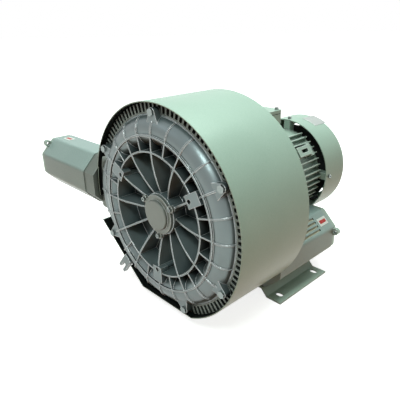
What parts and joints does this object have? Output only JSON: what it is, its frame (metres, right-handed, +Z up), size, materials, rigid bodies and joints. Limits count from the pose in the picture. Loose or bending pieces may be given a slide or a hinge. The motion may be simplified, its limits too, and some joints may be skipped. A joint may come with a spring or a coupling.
{
  "type": "two-stage side channel blower",
  "caption": "Two-stage side channel blower with a ribbed round cover in a sheet shroud, a flange motor, and a silencer on each port.",
  "frame": {"origin": "on the floor, at the middle of the four foot slots", "axes": "+Z up; Y along the shaft, with the ribbed cover towards -Y and the motor towards +Y; the intake silencer points to -X"},
  "size_m": [0.7855, 0.564, 0.49],
  "materials": {
    "painted_metal_grey": "satin silver-grey paint",
    "cast_alloy": "as-cast, shot-blasted",
    "core_iron": "stacked sheet",
    "copper": "varnished copper wire",
    "seal_rubber": "matte",
    "absorber": "porous lining",
    "dark_plastic": "moulded, fine grain",
    "steel": "zinc-plated or turned"
  },
  "bodies": {
    "blower": {"shroud": "painted_metal_grey", "shroud_screws": "steel", "front_cover": "cast_alloy", "cover_bolts": "steel", "bearing_cap": "cast_alloy", "bearing_cap_screws": "steel", "stage_casing": "cast_alloy", "casing_bolts": "steel", "rear_casing": "cast_alloy", "shaft_seal": "seal_rubber", "front_bearing_outer": "steel", "drive_bearing_outer": "steel", "rear_bearing_outer": "steel", "motor_flange": "painted_metal_grey", "motor_bolts": "steel", "motor_housing": "painted_metal_grey", "stator_core": "core_iron", "stator_windings": "copper", "motor_rear_shield": "painted_metal_grey", "fan_cowl": "painted_metal_grey", "cowl_screws": "steel", "terminal_box": "painted_metal_grey", "terminal_gasket": "seal_rubber", "terminal_lid": "painted_metal_grey", "terminal_lid_screws": "steel", "terminal_block": "dark_plastic", "cable_glands": "dark_plastic", "left_foot": "painted_metal_grey", "right_foot": "painted_metal_grey", "left_foot_bracket": "cast_alloy", "right_foot_bracket": "cast_alloy", "foot_bolts": "steel", "intake_silencer": "painted_metal_grey", "intake_absorber": "absorber", "intake_tube": "steel", "intake_gasket": "seal_rubber", "intake_flange": "painted_metal_grey", "intake_flange_screws": "steel", "outlet_silencer": "painted_metal_grey", "outlet_absorber": "absorber", "outlet_tube": "steel", "outlet_gasket": "seal_rubber", "outlet_flange": "painted_metal_grey", "outlet_flange_screws": "steel"},
    "rotor": {"shaft": "steel", "impeller_1": "cast_alloy", "impeller_2": "cast_alloy", "impeller_spacer": "steel", "impeller_keys": "steel", "impeller_nut": "steel", "front_bearing_inner": "steel", "drive_bearing_inner": "steel", "rear_bearing_inner": "steel", "rotor_core": "core_iron", "cooling_fan": "dark_plastic"},
    "front_cage": {"front_bearing_balls": "steel"},
    "drive_cage": {"drive_bearing_balls": "steel"},
    "rear_cage": {"rear_bearing_balls": "steel"}
  },
  "joints": [
    {"name": "rotor_spin", "type": "hinge", "parent": "blower", "child": "rotor", "pos_m": [0, 0, 0.25], "axis": [0, 1, 0], "continuous": true},
    {"name": "front_cage_spin", "type": "hinge", "parent": "blower", "child": "front_cage", "pos_m": [0, 0, 0.25], "axis": [0, 1, 0], "continuous": true},
    {"name": "drive_cage_spin", "type": "hinge", "parent": "blower", "child": "drive_cage", "pos_m": [0, 0, 0.25], "axis": [0, 1, 0], "continuous": true},
    {"name": "rear_cage_spin", "type": "hinge", "parent": "blower", "child": "rear_cage", "pos_m": [0, 0, 0.25], "axis": [0, 1, 0], "continuous": true}
  ],
  "couplings": [
    {"joint": "front_cage_spin", "follows": "rotor_spin", "ratio": 0.38059},
    {"joint": "drive_cage_spin", "follows": "rotor_spin", "ratio": 0.38846},
    {"joint": "rear_cage_spin", "follows": "rotor_spin", "ratio": 0.40333}
  ]
}
